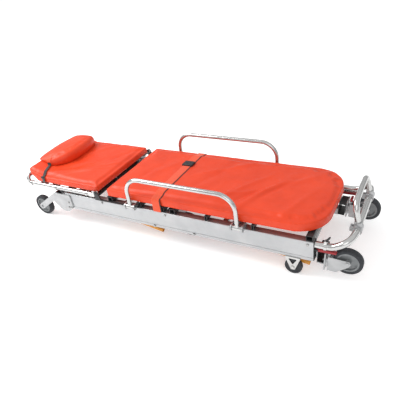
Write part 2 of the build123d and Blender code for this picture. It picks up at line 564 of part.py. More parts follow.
def rear_fork_right():
    """A swivel fork with its kingpin along the leg and lugs for the brake pedal."""
    y = REAR_WHEEL_Y
    fork = rod_x(604.5, 613, -y, 0, 27) + rod_x(588, 606, -y, 0, 6)
    fork += block(612, 618, -y - 22, -y + 22, -36, 36)
    outline = [(612, -36), (650, -36), (700, 10), (707, 25), (700, 38), (612, 36)]
    fork += side_plate(outline, -y - 22, -y - 18, 5) + side_plate(outline, -y + 18, -y + 22, 5)
    axle_x = LEG_LENGTH + CASTER_DROP
    fork += rod_y(axle_x, -y - 24, -y + 24, CASTER_TRAIL, AXLE_R)
    for y0 in (-y - 26, -y + 22):
        fork += rod_y(axle_x, y0, y0 + 4, CASTER_TRAIL, 8)
    for offset in (-12, 8):
        fork += hull_plate([(615, 32, 3), (PEDAL_X, PEDAL_Z, 5)], -y + offset, -y + offset + 4)
    fork += rod_y(PEDAL_X, -y - 12, -y + 12, PEDAL_Z, 3)
    return in_leg(fork, REAR_PIVOT_X)


def brake_pedal_right():
    """The red foot tab that drops a brake onto the tyre."""
    y = REAR_WHEEL_Y
    pedal = rod_y(PEDAL_X, -y - 7, -y + 7, PEDAL_Z, 5.5)
    pedal += block(PEDAL_X - 4, PEDAL_X + 4, -y - 6, -y + 6, PEDAL_Z, PEDAL_Z + 10)
    tab = block(PEDAL_X - 5, PEDAL_X + 6, -y - 20, -y + 20, PEDAL_Z + 7, PEDAL_Z + 22)
    pedal += fillet(tab.edges().filter_by(Axis.X), 5)
    return in_leg(pedal - rod_y(PEDAL_X, -y - 8, -y + 8, PEDAL_Z, 3 + RUN), REAR_PIVOT_X)


def struts(pivot_x):
    """Flat links from the legs' ears to the sliding shoes."""
    ear_angle = radians(EAR_ANGLE - LEG_TILT)
    ear = (pivot_x + STRUT_LENGTH * cos(ear_angle), PIVOT_Z + STRUT_LENGTH * sin(ear_angle))
    shoe = (shoe_x(pivot_x), PIVOT_Z)
    link = hull_plate([(*ear, 12), (*shoe, 12)], -STRUT_Y1, -STRUT_Y0)
    for x, z in (ear, shoe):
        link -= rod_y(x, -STRUT_Y1 - 1, -STRUT_Y0 + 1, z, 6 + RUN)
    return both_sides(link)


def strut_shoes(pivot_x):
    """Blocks that run in the beams' lower chamber, each with a pin through the slot."""
    x = shoe_x(pivot_x)
    shoe = block(x - 22, x + 22, -252, -222, PIVOT_Z - 15, PIVOT_Z + 15)
    shoe += rod_y(x, -222, -STRUT_Y1 - 1, PIVOT_Z, 7.5)
    shoe += rod_y(x, -STRUT_Y1 - 1, -STRUT_Y0 + 0.5, PIVOT_Z, 6)
    return both_sides(shoe)


def shoe_x(pivot_x):
    return pivot_x + 2 * STRUT_LENGTH * cos(radians(EAR_ANGLE - LEG_TILT))


# ---- wheels -----------------------------------------------------------------------------------------------
def rounded_ring(r_out, r_in, width, shoulder):
    """A rubber ring on the Z axis with rounded outer shoulders."""
    disc = Cylinder(r_out, width)
    disc = fillet(disc.faces().filter_by(GeomType.PLANE).edges(), shoulder)
    return disc - Cylinder(r_in, width + 1)


def tyre(x, y, z):
    return Pos(x, y, z) * Rot(90, 0, 0) * rounded_ring(WHEEL_R, HUB_R, WHEEL_W, 8)


def hub(x, y, z):
    """A dished plastic wheel centre: rim, web and boss."""
    rim = Cylinder(HUB_R - 0.1, WHEEL_W - 6) - Cylinder(HUB_R - 8, WHEEL_W)
    centre = rim + Cylinder(HUB_R - 7, 8) + Cylinder(14, WHEEL_W + 2)
    centre -= Cylinder(AXLE_R + RUN, WHEEL_W + 4)
    return Pos(x, y, z) * Rot(90, 0, 0) * centre


def aux_wheel_right():
    ring = rounded_ring(AUX_R, AUX_R - 12, AUX_W, 4)
    centre = Cylinder(AUX_R - 12.1, AUX_W - 2) - Cylinder(AXLE_R + RUN, AUX_W)
    wheel = solids_of(ring, centre)
    return Pos(AUX_X, -AUX_Y, AUX_R) * Rot(90, 0, 0) * wheel


# ---- the assembly -----------------------------------------------------------------------------
def wheel_nodes(name, x, y, z):
    """Tyre and hub on both sides, at the right wheel's centre (x, -y, z)."""
    return {f"{name}_tyre_right": tyre(x, -y, z), f"{name}_tyre_left": tyre(x, y, z),
            f"{name}_hub_right": hub(x, -y, z), f"{name}_hub_left": hub(x, y, z)}


def handed(name, shape):
    return {f"{name}_right": shape, f"{name}_left": mirrored(shape)}


NODES = {
    "beam_end_caps": beam_end_caps(), "frame_cross_tubes": frame_cross_tubes(), "deck_slats": deck_slats(),
    "loading_arms": both_sides(loading_arm_right()), "loading_gussets": both_sides(loading_gussets_right()),
    "aux_wheel_brackets": both_sides(aux_wheel_bracket_right()), "leg_pivot_pins": leg_pivot_pins(),
    "guard_hinge_blocks": guard_hinge_blocks(), "back_hinge_brackets": both_sides(back_hinge_bracket_right()),
    "foot_handle": foot_handle(), "catch_lever": catch_lever(), "hoop_handle": hoop_handle(),
    "hoop_sleeves": hoop_sleeves(), "frame_bolts": frame_bolts(), "quadrant_lock": quadrant_lock(),
    "leg_cushion": leg_cushion(), "belt": belt(), "belt_buckle": belt_buckle(),
    "buckle_button": buckle_button(),
    "back_frame": back_frame(), "back_slats": back_slats(), "back_quadrant": back_quadrant(),
    "back_cushion": back_cushion(), "pillow": pillow(),
    "front_leg_frame": front_leg_frame(), "front_leg_bumpers": leg_bumpers(FRONT_PIVOT_X),
    "front_forks": front_forks(), "front_struts": struts(FRONT_PIVOT_X),
    "front_strut_shoes": strut_shoes(FRONT_PIVOT_X),
    "rear_leg_frame": rear_leg_frame(), "rear_leg_bumpers": leg_bumpers(REAR_PIVOT_X),
    "rear_leg_ends": rear_leg_ends(), "rear_struts": struts(REAR_PIVOT_X),
    "rear_strut_shoes": strut_shoes(REAR_PIVOT_X),
    **handed("beam", beam_right()), **handed("guard_rail", guard_rail_right()),
    **handed("guard_knob", guard_knob_right()), **handed("release_lever", release_lever_right()),
    **handed("aux_wheel", aux_wheel_right()), **handed("rear_fork", rear_fork_right()),
    **handed("brake_pedal", brake_pedal_right()),
    **wheel_nodes("loading", -WHEEL_X, LOADING_Y, WHEEL_R),
    **wheel_nodes("front", FRONT_WHEEL_X, FRONT_WHEEL_Y, FRONT_WHEEL_Z),
    **wheel_nodes("rear", WHEEL_X, REAR_WHEEL_Y, REAR_WHEEL_Z),
}

os.makedirs("parts", exist_ok=True)
for node, shape in NODES.items():
    export_step(shape, f"parts/{node}.step")
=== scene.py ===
"""Looks for the stretcher trolley: materials, upholstery, straps, floor, lights and camera."""

from math import cos, exp, radians, sin

import bpy
from mathutils import Matrix, Vector, noise
from mathutils.bvhtree import BVHTree


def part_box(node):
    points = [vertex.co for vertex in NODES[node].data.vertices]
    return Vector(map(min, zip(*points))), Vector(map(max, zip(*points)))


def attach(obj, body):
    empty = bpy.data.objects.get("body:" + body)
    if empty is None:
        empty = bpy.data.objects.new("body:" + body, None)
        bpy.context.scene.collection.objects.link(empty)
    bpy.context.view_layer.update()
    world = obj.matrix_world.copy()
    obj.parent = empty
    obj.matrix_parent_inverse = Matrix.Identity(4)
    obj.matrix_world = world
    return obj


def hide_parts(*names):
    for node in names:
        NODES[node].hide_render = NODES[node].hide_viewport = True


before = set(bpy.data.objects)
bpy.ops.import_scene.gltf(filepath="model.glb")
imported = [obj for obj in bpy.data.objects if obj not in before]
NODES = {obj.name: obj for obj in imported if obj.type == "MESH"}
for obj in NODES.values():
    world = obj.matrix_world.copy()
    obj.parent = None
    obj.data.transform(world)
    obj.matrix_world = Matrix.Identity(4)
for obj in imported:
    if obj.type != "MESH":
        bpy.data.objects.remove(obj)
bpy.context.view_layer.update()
MM = 0.001
LEG_LOW, LEG_HIGH = (Vector(corner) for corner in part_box("leg_cushion"))
BACK_LOW, BACK_HIGH = (Vector(corner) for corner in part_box("back_cushion"))
PILLOW_LOW, PILLOW_HIGH = (Vector(corner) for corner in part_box("pillow"))
BELT_LOW, BELT_HIGH = (Vector(corner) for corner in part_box("belt"))
TOP_Z = LEG_HIGH.z                      # flat top of both cushions
RISE_FROM, RISE_TO = BACK_LOW.x + 0.143, BACK_LOW.x + 0.017     # the back cushion's raised head end
RISE = 0.035
SLIDE, SINK = 0.0015, 0.001             # how far the stuffed cloth may slip or sink
PRESSURE, SWELL_STEPS = 5.0, 20         # air in the stuffed cloth, and frames that it swells for
UNDERSIDE = -0.7                        # normals that point lower than this belong to a held underside
CREASE_DEPTH, CREASE_BLEND = 0.035, 0.03    # folds fade out this far below the pads' top
PIPING_STEP = 0.006
STRAP_CLEARANCE = 0.0014
TAB_STEPS = 5                           # path steps of the pillow's tab, before its strap begins
LENS, SENSOR = 38.71, 36
EYE_PLACE = (1.1410, -1.6537, 1.3548)
EYE_YAW, EYE_PITCH, EYE_ROLL = 32.82, 31.97, -8.82


# ---- material helpers ----------------------------------------------------------------------
class Paint:
    """One procedural material: a Principled shader and short ways to feed it."""

    def __init__(self, name, **sockets):
        self.material = bpy.data.materials.new(name)
        self.material.use_nodes = True
        self.tree = self.material.node_tree
        self.tree.nodes.clear()
        self.shader = self.node("ShaderNodeBsdfPrincipled")
        out = self.node("ShaderNodeOutputMaterial")
        self.tree.links.new(self.shader.outputs["BSDF"], out.inputs["Surface"])
        self.coords = self.node("ShaderNodeTexCoord").outputs["Object"]
        for socket, value in sockets.items():
            self.shader.inputs[socket.replace("_", " ")].default_value = value

    def node(self, kind):
        return self.tree.nodes.new(kind)

    def scaled(self, stretch):
        mapping = self.node("ShaderNodeMapping")
        mapping.inputs["Scale"].default_value = stretch
        self.tree.links.new(self.coords, mapping.inputs["Vector"])
        return mapping.outputs["Vector"]

    def noise(self, scale, detail=3.0, rough=0.5, stretch=(1, 1, 1)):
        tex = self.node("ShaderNodeTexNoise")
        tex.inputs["Scale"].default_value = scale
        tex.inputs["Detail"].default_value = detail
        tex.inputs["Roughness"].default_value = rough
        self.tree.links.new(self.scaled(stretch), tex.inputs["Vector"])
        return tex.outputs["Fac"]

    def cells(self, scale):
        tex = self.node("ShaderNodeTexVoronoi")
        tex.inputs["Scale"].default_value = scale
        self.tree.links.new(self.scaled((1, 1, 1)), tex.inputs["Vector"])
        return tex.outputs["Distance"]

    def bands(self, scale, direction, distortion=0.0):
        tex = self.node("ShaderNodeTexWave")
        tex.bands_direction = direction
        tex.inputs["Scale"].default_value = scale
        tex.inputs["Distortion"].default_value = distortion
        self.tree.links.new(self.scaled((1, 1, 1)), tex.inputs["Vector"])
        return tex.outputs["Fac"]

    def mapped(self, value, low, high, from_low=0.3, from_high=0.7):
        """The value's middle range stretched to low..high."""
        node = self.node("ShaderNodeMapRange")
        node.inputs["From Min"].default_value = from_low
        node.inputs["From Max"].default_value = from_high
        node.inputs["To Min"].default_value = low
        node.inputs["To Max"].default_value = high
        self.tree.links.new(value, node.inputs["Value"])
        return node.outputs["Result"]

    def colour(self, value, first, second, start=0.3, end=0.7):
        ramp = self.node("ShaderNodeValToRGB")
        ramp.color_ramp.elements[0].position = start
        ramp.color_ramp.elements[0].color = (*first, 1)
        ramp.color_ramp.elements[1].position = end
        ramp.color_ramp.elements[1].color = (*second, 1)
        self.tree.links.new(value, ramp.inputs["Fac"])
        self.tree.links.new(ramp.outputs["Color"], self.shader.inputs["Base Color"])
        return self

    def roughness(self, value, low, high):
        self.tree.links.new(self.mapped(value, low, high), self.shader.inputs["Roughness"])
        return self

    def bump(self, value, depth_mm, strength=1.0):
        """Adds one layer of relief, chained onto the layers before it."""
        node = self.node("ShaderNodeBump")
        node.inputs["Strength"].default_value = strength
        node.inputs["Distance"].default_value = depth_mm * MM
        self.tree.links.new(value, node.inputs["Height"])
        normal = self.shader.inputs["Normal"]
        if normal.is_linked:
            self.tree.links.new(normal.links[0].from_socket, node.inputs["Normal"])
        self.tree.links.new(node.outputs["Normal"], normal)
        return self


def beam_aluminium():
    """Anodised extrusion: fine die lines along X and faint handling marks."""
    p = Paint("beam_aluminium", Metallic=0.9, Roughness=0.4)
    marks = p.noise(9, 5, 0.6)
    p.colour(marks, (0.42, 0.43, 0.44), (0.53, 0.535, 0.54), 0.25, 0.75)
    lines = p.noise(320, 3, 0.6, (0.015, 1, 1))
    p.roughness(lines, 0.34, 0.50)
    return p.bump(lines, 0.10, 0.35).bump(p.noise(28, 2), 0.25, 0.12).material


def tube_aluminium():
    """Polished tube with faint streaks and a few duller patches."""
    p = Paint("tube_aluminium", Metallic=1.0, Roughness=0.25)
    p.colour(p.noise(10, 3, 0.5), (0.50, 0.50, 0.495), (0.62, 0.62, 0.61), 0.25, 0.75)
    p.roughness(p.noise(30, 3, 0.5), 0.20, 0.28)
    return p.bump(p.noise(240, 2, 0.5, (0.2, 1, 1)), 0.02, 0.12).material


def painted_steel():
    """Silver-grey lacquer over steel, with orange peel and dulled edges."""
    p = Paint("painted_steel", Metallic=0.75, Roughness=0.38)
    p.colour(p.noise(22, 5, 0.6), (0.38, 0.385, 0.39), (0.50, 0.505, 0.51), 0.25, 0.75)
    p.roughness(p.noise(70, 4, 0.6), 0.30, 0.46)
    return p.bump(p.noise(420, 2), 0.06, 0.3).material


def bright_steel():
    """Plated steel of the small fittings, slightly dulled in patches."""
    p = Paint("bright_steel", Metallic=1.0, Roughness=0.2)
    p.colour(p.noise(40, 3), (0.36, 0.36, 0.36), (0.50, 0.50, 0.49))
    p.roughness(p.noise(60, 3), 0.17, 0.30)
    return p.bump(p.noise(400, 2), 0.02, 0.15).material


def black_coat():
    """Black powder coat: a fine pebble and dust in the hollows."""
    p = Paint("black_coat", Roughness=0.45, Specular_IOR_Level=0.5)
    p.colour(p.noise(40, 5, 0.65), (0.012, 0.012, 0.014), (0.035, 0.034, 0.036))
    p.roughness(p.noise(90, 3), 0.36, 0.55)
    return p.bump(p.noise(1100, 2), 0.08, 0.35).material


def moulded(name, dark, light, low, high):
    """Injection-moulded plastic: a spark-eroded grain and scuffs."""
    p = Paint(name, Roughness=0.5, Specular_IOR_Level=0.45)
    p.colour(p.noise(55, 5, 0.65), dark, light)
    p.roughness(p.noise(120, 3), low, high)
    return p.bump(p.noise(1600, 2), 0.05, 0.35).bump(p.cells(900), 0.03, 0.2).material


def ochre_coat():
    """Orange-yellow coating on the strike tubes, rubbed paler in places."""
    p = Paint("ochre_coat", Roughness=0.4, Coat_Weight=0.25, Coat_Roughness=0.2)
    p.colour(p.noise(35, 5, 0.65), (0.62, 0.23, 0.015), (0.76, 0.33, 0.035))
    p.roughness(p.noise(80, 3), 0.32, 0.5)
    return p.bump(p.noise(600, 2), 0.06, 0.3).material


def rubber():
    """Tyre rubber: dull, with a dusty tread and fine moulding grain."""
    p = Paint("rubber", Roughness=0.72, Specular_IOR_Level=0.35)
    p.colour(p.noise(120, 6, 0.7), (0.020, 0.022, 0.026), (0.050, 0.052, 0.058))
    p.roughness(p.noise(150, 4), 0.62, 0.85)
    return p.bump(p.noise(900, 3), 0.10, 0.4).material


def vinyl():
    """Soft PVC-coated cloth: pebble grain over slack, shallow wrinkles."""
    p = Paint("vinyl", Roughness=0.45, Coat_Weight=0.06, Coat_Roughness=0.3, Specular_IOR_Level=0.3)
    p.colour(p.noise(7, 4, 0.55), (0.68, 0.046, 0.010), (0.80, 0.062, 0.015), 0.3, 0.72)
    p.roughness(p.noise(45, 4, 0.6), 0.38, 0.52)
    p.bump(p.noise(12, 3, 0.5, (1.0, 0.55, 1)), 2.2, 0.45)
    return p.bump(p.cells(750), 0.12, 0.30).bump(p.noise(1500, 2), 0.05, 0.3).material


def webbing(name, dark, light):
    """Woven strap: ribs across the weave, and threads that catch the light."""
    p = Paint(name, Roughness=0.8, Sheen_Weight=0.2)
    p.colour(p.noise(160, 4, 0.6), dark, light)
    p.roughness(p.noise(200, 3), 0.65, 0.9)
    return p.bump(p.bands(700, "Y", distortion=0.4), 0.20, 0.5).bump(p.bands(900, "X"), 0.12, 0.4).material


def floor_paint():
    """A pale sheet that is softly lit from below, so that little shadow falls on it."""
    p = Paint("pale_floor", Roughness=0.9, Specular_IOR_Level=0.1, Emission_Color=(1, 1, 1, 1),
              Emission_Strength=0.4)
    return p.colour(p.noise(3, 3), (0.86, 0.86, 0.86), (0.88, 0.88, 0.88)).material


ALUMINIUM = beam_aluminium()
TUBE = tube_aluminium()
STEEL = painted_steel()
BRIGHT = bright_steel()
BLACK = black_coat()
PLASTIC = moulded("black_plastic", (0.012, 0.012, 0.013), (0.030, 0.030, 0.032), 0.38, 0.55)
GREY = moulded("grey_plastic", (0.17, 0.18, 0.185), (0.25, 0.26, 0.265), 0.38, 0.55)
RED = moulded("red_plastic", (0.26, 0.010, 0.016), (0.40, 0.018, 0.024), 0.28, 0.42)
OCHRE = ochre_coat()
RUBBER = rubber()
VINYL = vinyl()
ORANGE_WEB = webbing("orange_webbing", (0.70, 0.060, 0.014), (0.84, 0.090, 0.022))
BLACK_WEB = webbing("black_webbing", (0.010, 0.010, 0.011), (0.030, 0.030, 0.032))

FINISH = {
    ALUMINIUM: ("beam_right", "beam_left", "front_struts", "rear_struts"),
    TUBE: ("foot_handle", "hoop_handle", "back_frame", "guard_rail_right", "guard_rail_left",
           "aux_wheel_brackets", "frame_cross_tubes"),
    STEEL: ("loading_arms", "loading_gussets", "front_leg_frame", "rear_leg_frame", "rear_fork_right",
            "rear_fork_left", "front_forks", "guard_hinge_blocks", "hoop_sleeves"),
    BRIGHT: ("leg_pivot_pins", "frame_bolts", "back_quadrant"),
    BLACK: ("deck_slats", "back_slats", "rear_leg_ends", "quadrant_lock", "back_hinge_brackets"),
    PLASTIC: ("beam_end_caps", "guard_knob_right", "guard_knob_left", "catch_lever", "front_strut_shoes",
              "rear_strut_shoes", "belt_buckle", "buckle_button"),
    GREY: ("loading_hub_right", "loading_hub_left", "front_hub_right", "front_hub_left", "rear_hub_right",
           "rear_hub_left"),
    OCHRE: ("front_leg_bumpers", "rear_leg_bumpers"),
    RED: ("release_lever_right", "release_lever_left", "brake_pedal_right", "brake_pedal_left"),
    RUBBER: ("loading_tyre_right", "loading_tyre_left", "front_tyre_right", "front_tyre_left",
             "rear_tyre_right", "rear_tyre_left", "aux_wheel_right", "aux_wheel_left"),
    VINYL: ("leg_cushion", "back_cushion", "pillow"),
    ORANGE_WEB: ("belt",),
}


def finish_nodes():
    """Every CAD node gets its material on the object's own slots."""
    for material, names in FINISH.items():
        for name in names:
            for material_slot in NODES[name].material_slots:
                material_slot.link = "OBJECT"
                material_slot.material = material


# ---- mesh helpers ---------------------------------------------------------------------------
def add_object(name, mesh, material):
    obj = bpy.data.objects.new(name, mesh)
    bpy.context.scene.collection.objects.link(obj)
    mesh.materials.clear()
    mesh.materials.append(material)
    for polygon in mesh.polygons:
        polygon.use_smooth = True
    return obj


def mesh_of(points, faces, name):
    mesh = bpy.data.meshes.new(name)
    mesh.from_pydata([tuple(p) for p in points], [], faces)
    mesh.update()
    return mesh


def apply_modifiers(obj):
    """Bakes the object's modifiers into its mesh."""
    graph = bpy.context.evaluated_depsgraph_get()
    baked = bpy.data.meshes.new_from_object(obj.evaluated_get(graph))
    obj.modifiers.clear()
    obj.data = baked


def surface_of(obj):
    graph = bpy.context.evaluated_depsgraph_get()
    return BVHTree.FromObject(obj, graph)


def loft(rings, name):
    """A closed skin through rings of equal length."""
    count = len(rings[0])
    points = [p for ring in rings for p in ring]
    faces = []
    for row in range(len(rings) - 1):
        for i in range(count):
            j = (i + 1) % count
            faces.append((row * count + i, row * count + j, (row + 1) * count + j, (row + 1) * count + i))
    faces.append(tuple(reversed(range(count))))
    faces.append(tuple(range((len(rings) - 1) * count, len(rings) * count)))
    return mesh_of(points, faces, name)


def move_outwards(obj, height_at):
    """Moves each point along its normal by the height that its place gives."""
    normals = [v.normal.copy() for v in obj.data.vertices]
    for vertex, normal in zip(obj.data.vertices, normals):
        vertex.co += normal * height_at(*vertex.co)
    obj.data.update()


def swollen(obj, cap):
    """Runs the cloth like stuffed fabric. Points move out by cap at most, and hardly slide or sink."""
    start = [(v.co.copy(), v.normal.copy()) for v in obj.data.vertices]
    held = obj.vertex_groups.new(name="held")
    held.add([v.index for v in obj.data.vertices if v.normal.z < UNDERSIDE], 1.0, "REPLACE")
    settings = obj.modifiers.new("cloth", "CLOTH").settings
    settings.vertex_group_mass = "held"
    settings.use_pressure = True
    settings.uniform_pressure_force = PRESSURE
    settings.effector_weights.gravity = 0
    settings.quality = 4
    settings.tension_stiffness = settings.compression_stiffness = 12
    settings.bending_stiffness = 0.6
    scene = bpy.context.scene
    for step in range(1, SWELL_STEPS + 1):
        scene.frame_set(step)
    apply_modifiers(obj)
    for vertex, (origin, normal) in zip(obj.data.vertices, start):
        move = vertex.co - origin
        out = move.dot(normal)
        slide = move - normal * out
        if slide.length > SLIDE:
            slide *= SLIDE / slide.length
        vertex.co = origin + slide + normal * max(-SINK, min(cap, out))
    obj.vertex_groups.clear()
    scene.frame_set(1)


def stuffed(obj, voxel, shrink, cap):
    """Remeshes a closed skin, swells it with its underside held, and makes it finer."""
    remesh = obj.modifiers.new("remesh", "REMESH")
    remesh.mode = "VOXEL"
    remesh.voxel_size = voxel
    apply_modifiers(obj)
    move_outwards(obj, lambda x, y, z: -shrink)
    swollen(obj, cap)
    apply_modifiers(subdivide(obj))


def subdivide(obj):
    modifier = obj.modifiers.new("smooth", "SUBSURF")
    modifier.levels = modifier.render_levels = 1
    return obj


# ---- upholstery -------------------------------------------------------------------------------
def fold_height(x, y, folds):
    """Height of long soft folds; each is (x, y, turn in degrees, length, width, height) in metres."""
    total = 0.0
    for fold_x, fold_y, turn, length, width, height in folds:
        along = (x - fold_x) * cos(radians(turn)) + (y - fold_y) * sin(radians(turn))
        across = (y - fold_y) * cos(radians(turn)) - (x - fold_x) * sin(radians(turn))
        across += 0.012 * noise.noise(Vector((along * 6, fold_x * 9, 0)))
        total += height * exp(-((along / length) ** 2)) * exp(-((across / width) ** 2))
    return total


def crease(obj, folds, ripple):
    """Lays folds and a slack ripple over the upper side of a cushion."""
    def height_at(x, y, z):
        up = max(0.0, min(1.0, (z - (TOP_Z - CREASE_DEPTH)) / CREASE_BLEND))
        slack = noise.noise(Vector((x * 5, y * 9, 3.1))) + 0.5 * noise.noise(Vector((x * 13, y * 17, 7.7)))
        lift = fold_height(x, y, folds) + ripple * slack
        side = 0.8 * ripple * noise.noise(Vector((x * 21, y * 21, z * 30)))
        return lift * up + side

    move_outwards(obj, height_at)


def cushion_from(node, name, shrink, cap):
    obj = add_object(name, NODES[node].data.copy(), VINYL)
    stuffed(obj, 0.008, shrink, cap)
    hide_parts(node)
    return obj


def settle(obj, body):
    """Smooth shading, and the stuffed piece parented to its body's empty."""
    for polygon in obj.data.polygons:
        polygon.use_smooth = True
    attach(obj, body)


def piping(name, outline, surface, radius, lift, closed=True):
    """A thin welt laid on a cushion's surface along an outline."""
    curve = bpy.data.curves.new(name, "CURVE")
    curve.dimensions = "3D"
    curve.bevel_depth = radius
    curve.bevel_resolution = 2
    spline = curve.splines.new("POLY")
    spline.points.add(len(outline) - 1)
    for point, target in zip(spline.points, outline):
        found, normal, _, _ = surface.find_nearest(target)
        point.co = (*(found + normal * lift), 1)
    spline.use_cyclic_u = closed
    curve.materials.append(VINYL)
    obj = bpy.data.objects.new(name, curve)
    bpy.context.scene.collection.objects.link(obj)
    return obj


def rounded_plan(x0, x1, half_y, radius_head, radius_foot, z):
    """Evenly spaced points round a rectangle in plan with rounded corners."""
    corners = ((x1 - radius_foot, half_y - radius_foot, radius_foot, 0),
               (x0 + radius_head, half_y - radius_head, radius_head, 90),
               (x0 + radius_head, radius_head - half_y, radius_head, 180),
               (x1 - radius_foot, radius_foot - half_y, radius_foot, 270))
    points = []
    for centre_x, centre_y, radius, start in corners:
        for i in range(19):
            angle = radians(start + 5 * i)
            points.append(Vector((centre_x + radius * cos(angle), centre_y + radius * sin(angle), z)))
    return resample(points + points[:1])[:-1]


def leg_pad():
    pad = cushion_from("leg_cushion", "leg_pad", 0.004, 0.009)
    length = LEG_HIGH.x - LEG_LOW.x
    folds = [(LEG_LOW.x + f * length, y, turn, reach, w, h) for f, y, turn, reach, w, h in (
        (0.62, -0.04, 58, 0.15, 0.018, 0.0070), (0.665, -0.09, 52, 0.13, 0.014, -0.0060),
        (0.71, -0.07, 64, 0.17, 0.020, 0.0085), (0.755, -0.02, 60, 0.12, 0.016, -0.0060),
        (0.80, 0.06, 44, 0.15, 0.022, 0.0050), (0.56, -0.13, 28, 0.14, 0.015, 0.0050),
        (0.50, 0.12, 35, 0.18, 0.020, 0.0050), (0.86, -0.12, 70, 0.14, 0.018, 0.0050),
        (0.44, 0.02, 66, 0.18, 0.022, -0.0045), (0.20, 0.05, 60, 0.16, 0.022, 0.0034),
        (0.12, -0.08, 74, 0.16, 0.018, -0.0034))]
    crease(pad, folds, 0.0013)
    settle(pad, "frame")
    inset = 0.004
    plan = rounded_plan(LEG_LOW.x + inset, LEG_HIGH.x - inset, LEG_HIGH.y - inset, 0.016, 0.146,
                        LEG_LOW.z + 0.006)
    welt = piping("leg_pad_welt", plan, surface_of(pad), 0.0016, 0.0002)
    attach(welt, "frame")
    return pad


def sag(pad, low, high, reach, depth):
    """Lets the lower side edges of a cushion settle onto the tubes beside its slats."""
    for vertex in pad.data.vertices:
        side = (abs(vertex.co.y) - high.y + reach) / reach
        under = 1 - (vertex.co.z - low.z) / reach
        vertex.co.z -= depth * max(0.0, min(1.0, side)) * max(0.0, min(1.0, under))


def back_pad():
    pad = cushion_from("back_cushion", "back_pad", 0.0035, 0.008)
    sag(pad, BACK_LOW, BACK_HIGH, 0.022, 0.003)
    folds = [(x, y, turn, 0.13, w, h) for x, y, turn, w, h in (
        (-0.52, -0.04, 38, 0.017, 0.0055), (-0.58, -0.12, 30, 0.015, 0.0060),
        (-0.63, -0.05, 46, 0.018, -0.0045), (-0.70, -0.15, 24, 0.016, 0.0045),
        (-0.48, 0.12, 62, 0.018, -0.0035), (-0.66, 0.14, 50, 0.020, 0.0036))]
    crease(pad, folds, 0.0013)
    settle(pad, "back")
    surface = surface_of(pad)
    for name, side in (("right", -1), ("left", 1)):
        y = side * (BACK_HIGH.y - 0.0015)
        run = [Vector((BACK_HIGH.x - 0.008, y, TOP_Z - 0.006)), Vector((RISE_FROM, y, TOP_Z - 0.006)),
               Vector((RISE_TO + 0.050, y, TOP_Z + 0.014))]
        welt = piping(f"back_pad_welt_{name}", resample(run), surface, 0.0018, 0.0004, closed=False)
        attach(welt, "back")
    return pad


def resample(points):
    """The same line with points about a piping step apart."""
    dense = []
    for a, b in zip(points, points[1:]):
        count = max(1, int((b - a).length / PIPING_STEP))
        dense += [a.lerp(b, i / count) for i in range(count)]
    return dense + [points[-1]]


def back_top_z(x):
    """Height of the back cushion's upper face, which slopes up towards the head."""
    t = max(0.0, min(1.0, (RISE_FROM - x) / (RISE_FROM - RISE_TO)))
    return TOP_Z + t * RISE


def bezier(a, b, c, count):
    """Points on a quadratic curve from a, pulled towards b, stopping just short of c."""
    points = []
    for i in range(count):
        t = i / count
        points.append(a * (1 - t) ** 2 + b * (2 * t * (1 - t)) + c * t ** 2)
    return points


def pillow_section(v):
    """The pillow's outline across it at v, from -1 at its thin right end to 1 at its left end."""
    inset = -0.004
    centre_y = (PILLOW_LOW.y + PILLOW_HIGH.y) / 2
    half_y = (PILLOW_HIGH.y - PILLOW_LOW.y) / 2 - inset
    end = abs(v)
    taper, droop = (0.092, 0.030) if v < 0 else (0.038, 0.012)
    front = PILLOW_HIGH.x - inset - taper * end ** 2.6
    rear = PILLOW_LOW.x + inset + 0.022 * end ** 8
    crest_z = PILLOW_HIGH.z - 0.004 - droop * end ** 2.4
    lowest = 0.0035
    crest = Vector((front - 0.026, 0, crest_z))
    toe = Vector((front - 0.010, 0, back_top_z(front - 0.010) + lowest))
    heel = Vector((rear, 0, back_top_z(rear) + 0.006))
    upper = bezier(heel, Vector((rear + 0.035, 0, crest_z + 0.004)), crest, 20)
    face = bezier(crest, Vector((front + 0.010, 0, crest_z - 0.012)), toe, 12)
    under = []
    for i in range(14):
        x = toe.x + (rear + 0.004 - toe.x) * i / 13
        under.append(Vector((x, 0, back_top_z(x) + lowest)))
    shift = Vector((0, centre_y + v * half_y, 0))
    return [point + shift for point in upper + face + under]


def pillow_wave(x, y, z):
    """Height of the slight unevenness of the pillow's stuffing."""
    wave = noise.noise(Vector((x * 22, y * 12, z * 14))) + 0.5 * noise.noise(Vector((x * 45, y * 30, 5)))
    return 0.0010 * wave


def pillow_pad():
    sections = [pillow_section(sin(radians(angle))) for angle in range(-90, 91, 5)]
    obj = add_object("pillow_pad", loft(sections, "pillow_pad"), VINYL)
    stuffed(obj, 0.006, 0.001, 0.006)
    move_outwards(obj, pillow_wave)
    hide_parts("pillow")
    settle(obj, "back")
    return obj


# ---- straps ---------------------------------------------------------------------------------------
def ribbon(name, path, across, width, thickness, material):
    """A flat strap: path points, a unit vector across it at each point, and a solid thickness."""
    columns = 5
    points, faces = [], []
    for point, side in zip(path, across):
        for i in range(columns):
            offset = (i / (columns - 1) - 0.5) * width
            points.append(point + side * offset)
    for row in range(len(path) - 1):
        for i in range(columns - 1):
            a = row * columns + i
            faces.append((a, a + 1, a + columns + 1, a + columns))
    obj = add_object(name, mesh_of(points, faces, name), material)
    solid = obj.modifiers.new("thick", "SOLIDIFY")
    solid.thickness = thickness
    solid.offset = 0
    return subdivide(obj)


